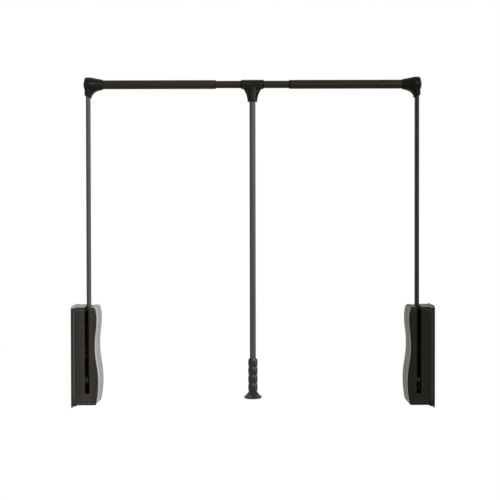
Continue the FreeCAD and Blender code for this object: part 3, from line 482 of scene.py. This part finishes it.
def shade_smooth(mesh):
    """Smooth shading over round faces, with the sharp edges kept."""
    mesh.polygons.foreach_set("use_smooth", [True] * len(mesh.polygons))
    mesh.set_sharp_from_angle(angle=math.radians(smooth_angle))


def dress_nodes():
    """Gives each CAD node its material and its shading."""
    for piece in record["subparts"]:
        mesh = nodes[piece["node"]].data
        mesh.materials.clear()
        mesh.materials.append(finish_for(piece["material_slot"], piece["node"]))
        shade_smooth(mesh)


# ---------------------------------------------------------------- small mouldings that the CAD leaves out
def add_object(name, data):
    """A new object in the scene."""
    made = bpy.data.objects.new(name, data)
    bpy.context.scene.collection.objects.link(made)
    return made


def add_piece(name, rings, body, material):
    """A closed skin through rings of points, one ring after the other, riding on a body."""
    mesh = bpy.data.meshes.new(name)
    skin = bmesh.new()
    loops = [[skin.verts.new(point) for point in ring] for ring in rings]
    for first, second in zip(loops, loops[1:]):
        for index in range(len(first)):
            after = (index + 1) % len(first)
            skin.faces.new((first[index], first[after], second[after], second[index]))
    skin.faces.new(loops[0])
    skin.faces.new(loops[-1])
    bmesh.ops.recalc_face_normals(skin, faces=skin.faces)
    skin.to_mesh(mesh)
    skin.free()
    piece = add_object(name, mesh)
    mesh.materials.append(material)
    shade_smooth(mesh)
    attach(piece, body)
    return piece


def mirrored(points, side):
    """Points given for the left side, or their mirror images."""
    sign = 1 if side == "left" else -1
    return [(sign * x, y, z) for x, y, z in points]


def smooth_line(points, steps=4):
    """Catmull-Rom curve through the points, so that a rib turns its corners without kinks."""
    line = []
    padded = [Vector(point) for point in (points[0], *points, points[-1])]
    for before, start, end, after in zip(padded, padded[1:], padded[2:], padded[3:]):
        for step in range(steps):
            share = step / steps
            line.append(0.5 * (2 * start + (end - before) * share
                               + (2 * before - 5 * start + 4 * end - after) * share ** 2
                               + (3 * start - before - 3 * end + after) * share ** 3))
    line.append(padded[-1])
    return line


def direction(line, index):
    """Unit direction of a line at one of its points."""
    return (line[min(index + 1, len(line) - 1)] - line[max(index - 1, 0)]).normalized()


def run_out(index, last, end_share):
    """Share of the full section at a point of a line that tapers to end_share at both ends."""
    return min(1.0, end_share + taper_step * min(index, last - index))


def rib_rings(line, widths, height):
    """Half-round section along a line on the front, run out at both ends; widths are at its start and end."""
    rings = []
    last = len(line) - 1
    for index, point in enumerate(line):
        across = direction(line, index).cross(to_front).normalized()
        width = widths[0] + (widths[1] - widths[0]) * index / last
        full = run_out(index, last, rib_end)
        ring = []
        for corner in range(rib_corners):
            turn = 2 * math.pi * corner / rib_corners
            rise = math.sin(turn) * (height if math.sin(turn) > 0 else rib_sunk) * full
            ring.append(point + across * (0.5 * width * math.cos(turn) * full) + to_front * rise)
        rings.append(ring)
    return rings


def line_up_front(x, low, high):
    """Points of an upright line on the front."""
    return [(x, front_y, z) for z in (low, *front_heights, high)]


def line_over_foot(wall_x, inner_x, y, z):
    """Points of a level line across the front's foot."""
    return [(x, y, z) for x in (wall_x, *foot_places, inner_x)]


def add_front_ribs(side):
    """The front's raised rim: up the wall side, along the top on both sides of the slot, and at the foot."""
    wall_side = line_up_front(-0.4668, 0.0225, 0.242)
    wall_side += [(-0.4664, front_y, 0.2490), (-0.4648, front_y, 0.2535), (-0.4612, front_y, 0.2559)]
    wall_side += [(x, front_y, crease_top) for x in (-0.4560, -0.4480, -0.4394)]
    wave_side = [(-0.4256, front_y, crease_top), (-0.4205, front_y, crease_top), (-0.4158, front_y, 0.2561)]
    wave_side += [(-0.4133, front_y, 0.2546), (-0.4121, front_y, 0.2515), (-0.4113, front_y, 0.2478)]
    ribs = {
        "front_rib": (wall_side, (0.0044, 0.0021), 0.00045),
        "wave_rib": (wave_side, (0.0021, 0.0019), 0.00045),
        "foot_rib": (line_over_foot(-0.4600, -0.4130, -0.0586, 0.0137), (0.0016, 0.0016), 0.00040),
        "sill_rib": (line_over_foot(-0.4600, -0.4115, front_y, 0.0202), (0.0011, 0.0011), 0.00030),
    }
    for part, (points, widths, height) in ribs.items():
        rings = rib_rings(smooth_line(mirrored(points, side)), widths, height)
        add_piece(f"{side}_{part}", rings, f"{side}_housing", rubbed_plastic[side])


def add_seams(side):
    """Dark joint lines: between the base shell and the front, and over the foot."""
    seams = {
        "joint_seam": (line_up_front(-0.4616, 0.0210, 0.248), 0.0016),
        "foot_seam": (line_over_foot(-0.4610, -0.4112, -0.0595, 0.0173), 0.0015),
    }
    for part, (points, width) in seams.items():
        rings = rib_rings(smooth_line(mirrored(points, side)), (width, width), seam_height)
        add_piece(f"{side}_{part}", rings, f"{side}_housing", materials["black_plastic"])


def add_lid(side):
    """Crown of the light cover's top, in two strips beside the slot."""
    # x and z of each strip's outline, from the wall inwards
    wall_strip = [(-0.4703, 0.2640), (-0.4700, 0.2650), (-0.4690, 0.2655), (-0.4640, 0.2657),
                  (-0.4560, 0.2656), (-0.4480, 0.2655), (-0.4430, 0.2652), (-0.4412, 0.2647),
                  (-0.4404, 0.2640)]
    wave_strip = [(-0.4246, 0.2640), (-0.4238, 0.2647), (-0.4222, 0.2652), (-0.4195, 0.2655),
                  (-0.4170, 0.2653), (-0.4152, 0.2647), (-0.4138, 0.2638), (-0.4126, 0.2626)]
    # y of each ring, and how much of the crown's rise it has
    rises = ((-0.0566, 0.0), (-0.0563, 0.22), (-0.0552, 0.38), (-0.0520, 0.52), (-0.0440, 0.70),
             (-0.0300, 0.88), (-0.0100, 0.98), (0.0150, 1.0), (0.0400, 1.0), (0.0520, 0.88), (0.0575, 0.62),
             (0.0593, 0.30), (0.0598, 0.0))
    for part, top in (("wall_lid", wall_strip), ("wave_lid", wave_strip)):
        section = [(top[0][0], lid_low), *top, (top[-1][0], lid_low)]
        rings = []
        for depth, rise in rises:
            share = lid_rim + (1 - lid_rim) * rise
            rings.append(mirrored([(x, depth, lid_low + (z - lid_low) * share) for x, z in section], side))
        add_piece(f"{side}_{part}", rings, f"{side}_housing", lid_plastic[side])


def add_plate_cap(side):
    """Bead of the light cover that laps over the wall plate's top edge, round both of its corners."""
    edge = []
    rising = range(plate_cap_start, 91, plate_cap_step)
    for end, turns in ((-1, rising), (1, reversed(rising))):
        for degrees in turns:
            turn = math.radians(degrees)
            edge.append((end * plate_corner_y, end * math.cos(turn), math.sin(turn)))
    # x of the bead's outline, and how far it stands outside the plate's edge
    section = ((-0.4744, -0.0016), (-0.4744, 0.0001), (-0.4740, 0.00035), (-0.4726, 0.00040),
               (-0.4710, 0.0001), (-0.4693, -0.0008), (-0.4693, -0.0030))
    rings = []
    for centre_y, out_y, out_z in edge:
        ring = []
        for x, offset in section:
            reach = plate_corner_radius + offset
            ring.append((x, centre_y + out_y * reach, plate_corner_z + out_z * reach))
        rings.append(mirrored(ring, side))
    add_piece(f"{side}_plate_cap", rings, f"{side}_housing", lid_plastic[side])


def add_slot_trim(side):
    """Rubber edging round the notch in the cover's top, proud of it on top and just inside its walls."""
    wall_x = -slot_middle - slot_half_width
    inner_x = -slot_middle + slot_half_width
    corner_y = slot_back - trim_corner
    chamfer_y = slot_back - trim_chamfer
    line = [(wall_x, trim_front), (wall_x, -0.040), (wall_x, -0.020), (wall_x, corner_y)]
    line += [(wall_x + trim_chamfer, chamfer_y), (wall_x + trim_corner, slot_back)]
    line += [(inner_x - trim_corner, slot_back), (inner_x - trim_chamfer, chamfer_y)]
    line += [(inner_x, corner_y), (inner_x, -0.020), (inner_x, -0.040), (inner_x, trim_front)]
    points = [Vector((x, y, 0.0)) for x, y in line]
    # distance outwards from the notch's wall, and z
    section = ((-trim_inside, trim_low), (-trim_inside, 0.2640), (0.2 * trim_reach, trim_top),
               (0.7 * trim_reach, trim_top), (trim_reach, 0.26395), (trim_reach, trim_lip),
               (0.0002, trim_lip), (0.0002, trim_low))
    rings = []
    for index, point in enumerate(points):
        out = direction(points, index).cross(Vector((0.0, 0.0, -1.0)))
        ring = [(point.x + out.x * offset, point.y + out.y * offset, z) for offset, z in section]
        rings.append(mirrored(ring, side))
    add_piece(f"{side}_slot_trim", rings, f"{side}_housing", materials["black_rubber"])


def add_drum_clip(side):
    """Snap ring on the hub's drum, open at the top where the arm's tongue stands; its steel is paler than the
    drum's, a painted highlight on the hub.
    """
    # x of the ring's outline, and how far it rises outwards
    section = ((-0.43905, 0.0), (-0.43905, 0.0006), (-0.4387, 0.0009), (-0.4352, 0.0009),
               (-0.4348, 0.0006), (-0.4348, 0.0))
    rings = []
    for step in range(clip_steps + 1):
        turn = math.radians(clip_start + clip_turn * step / clip_steps)
        full = run_out(step, clip_steps, clip_end)
        ring = []
        for x, rise in section:
            radius = clip_radius + rise * full
            ring.append((x, pivot_y + radius * math.cos(turn), pivot_z + radius * math.sin(turn)))
        rings.append(mirrored(ring, side))
    add_piece(f"{side}_drum_clip", rings, f"{side}_lever", clip_steel_painted_highlight)


def spring_rise(turned):
    """How far the spring's wire has risen after so many turns: its end turns lie closed on the next ones."""
    wire_height = spring_wire[1]
    closed = spring_closed * wire_height
    rise = spring_high - spring_low - wire_height
    middle = (turned - 1) / (spring_turns - 2)
    if middle <= 0:
        return closed * turned
    if middle >= 1:
        return rise - closed * (spring_turns - turned)
    return closed + (rise - 2 * closed) * middle


def add_spring(side):
    """Flat wire compression spring with closed ends."""
    wide, high = spring_wire[0] / 2, spring_wire[1] / 2
    cut = spring_cut
    corners = [(-wide, -high + cut), (-wide + cut, -high), (wide - cut, -high), (wide, -high + cut),
               (wide, high - cut), (wide - cut, high), (-wide + cut, high), (-wide, high - cut)]
    steps = int(spring_turn_steps * spring_turns)
    rings = []
    for step in range(steps + 1):
        turned = spring_turns * step / steps
        angle = 2 * math.pi * turned
        middle_z = spring_low + high + spring_rise(turned)
        ring = []
        for outward, upward in corners:
            radius = spring_radius + outward
            ring.append((spring_x + radius * math.cos(angle), spring_y + radius * math.sin(angle),
                         middle_z + upward))
        rings.append(mirrored(ring, side))
    steel = materials["spring_steel"]
    coil = add_piece(f"{side}_spring_coil", rings, f"{side}_housing", steel)
    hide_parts(f"{side}_spring")
    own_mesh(coil)


# ---------------------------------------------------------------- surroundings
def camera_switch(tree, for_light, for_camera):
    """Mix of two shaders: the second where the camera looks, straight or through glass or off metal."""
    path = tree.nodes.new("ShaderNodeLightPath")
    chosen = path.outputs["Is Camera Ray"]
    for ray in ("Is Glossy Ray", "Is Transmission Ray"):
        either = tree.nodes.new("ShaderNodeMath")
        either.operation = "MAXIMUM"
        tree.links.new(chosen, either.inputs[0])
        tree.links.new(path.outputs[ray], either.inputs[1])
        chosen = either.outputs["Value"]
    mix = tree.nodes.new("ShaderNodeMixShader")
    tree.links.new(chosen, mix.inputs[0])
    tree.links.new(for_light, mix.inputs[1])
    tree.links.new(for_camera, mix.inputs[2])
    return mix.outputs[0]


def add_shader(tree, kind, level, socket="Color"):
    """The output of a new shader node, whose level is a grey or a strength."""
    node = tree.nodes.new(kind)
    node.inputs[socket].default_value = (level, level, level, 1.0) if socket == "Color" else level
    return node.outputs[0]


def make_floor():
    """A round pale floor: white to the camera but for the object's shadow."""
    mesh = bpy.data.meshes.new("floor")
    level = cad_low.z - floor_drop
    turns = [2 * math.pi * index / floor_corners for index in range(floor_corners)]
    rim = [(floor_radius * math.cos(turn), floor_radius * math.sin(turn), level) for turn in turns]
    mesh.from_pydata(rim, [], [tuple(range(floor_corners))])
    floor = add_object("floor", mesh)
    material = bpy.data.materials.new("floor")
    material.use_nodes = True
    tree = material.node_tree
    tree.nodes.clear()
    output = tree.nodes.new("ShaderNodeOutputMaterial")
    pale = add_shader(tree, "ShaderNodeBsdfDiffuse", floor_colour)
    shadowed = add_shader(tree, "ShaderNodeBsdfDiffuse", floor_seen_colour)
    glow = add_shader(tree, "ShaderNodeEmission", floor_seen_glow, "Strength")
    seen = tree.nodes.new("ShaderNodeAddShader")
    tree.links.new(shadowed, seen.inputs[0])
    tree.links.new(glow, seen.inputs[1])
    tree.links.new(camera_switch(tree, pale, seen.outputs[0]), output.inputs["Surface"])
    mesh.materials.append(material)


def make_world():
    """White to the camera, soft grey light for everything else."""
    world = bpy.data.worlds.new("studio")
    bpy.context.scene.world = world
    world.use_nodes = True
    tree = world.node_tree
    tree.nodes.clear()
    output = tree.nodes.new("ShaderNodeOutputWorld")
    light = tree.nodes.new("ShaderNodeBackground")
    light.inputs["Color"].default_value = (1.0, 1.0, 1.0, 1.0)
    light.inputs["Strength"].default_value = world_glow
    white = add_shader(tree, "ShaderNodeBackground", 1.0)
    tree.links.new(camera_switch(tree, light.outputs[0], white), output.inputs["Surface"])


def make_lamps():
    """Square lamps, all turned to the same target."""
    for name, (place, size, power) in lamps.items():
        data = bpy.data.lights.new(name, "AREA")
        data.shape = "SQUARE"
        data.size = size
        data.energy = power
        lamp = add_object(name, data)
        lamp.location = place
        lamp.rotation_euler = (Vector(lamp_target) - Vector(place)).to_track_quat("-Z", "Y").to_euler()


def make_camera():
    """The photograph's viewpoint."""
    data = bpy.data.cameras.new("camera")
    data.sensor_width = camera_sensor
    data.lens = camera_lens
    camera = add_object("camera", data)
    level = Euler((math.radians(90 + camera_pitch), 0.0, math.radians(camera_yaw))).to_matrix()
    roll = Matrix.Rotation(math.radians(camera_roll), 3, "Z")
    camera.rotation_euler = (level @ roll).to_euler()
    camera.location = camera_place
    bpy.context.scene.camera = camera


dress_nodes()
for side in ("left", "right"):
    add_front_ribs(side)
    add_seams(side)
    add_lid(side)
    add_plate_cap(side)
    add_slot_trim(side)
    add_drum_clip(side)
    add_spring(side)
make_floor()
make_world()
make_lamps()
make_camera()
bpy.context.scene.view_settings.view_transform = "Standard"
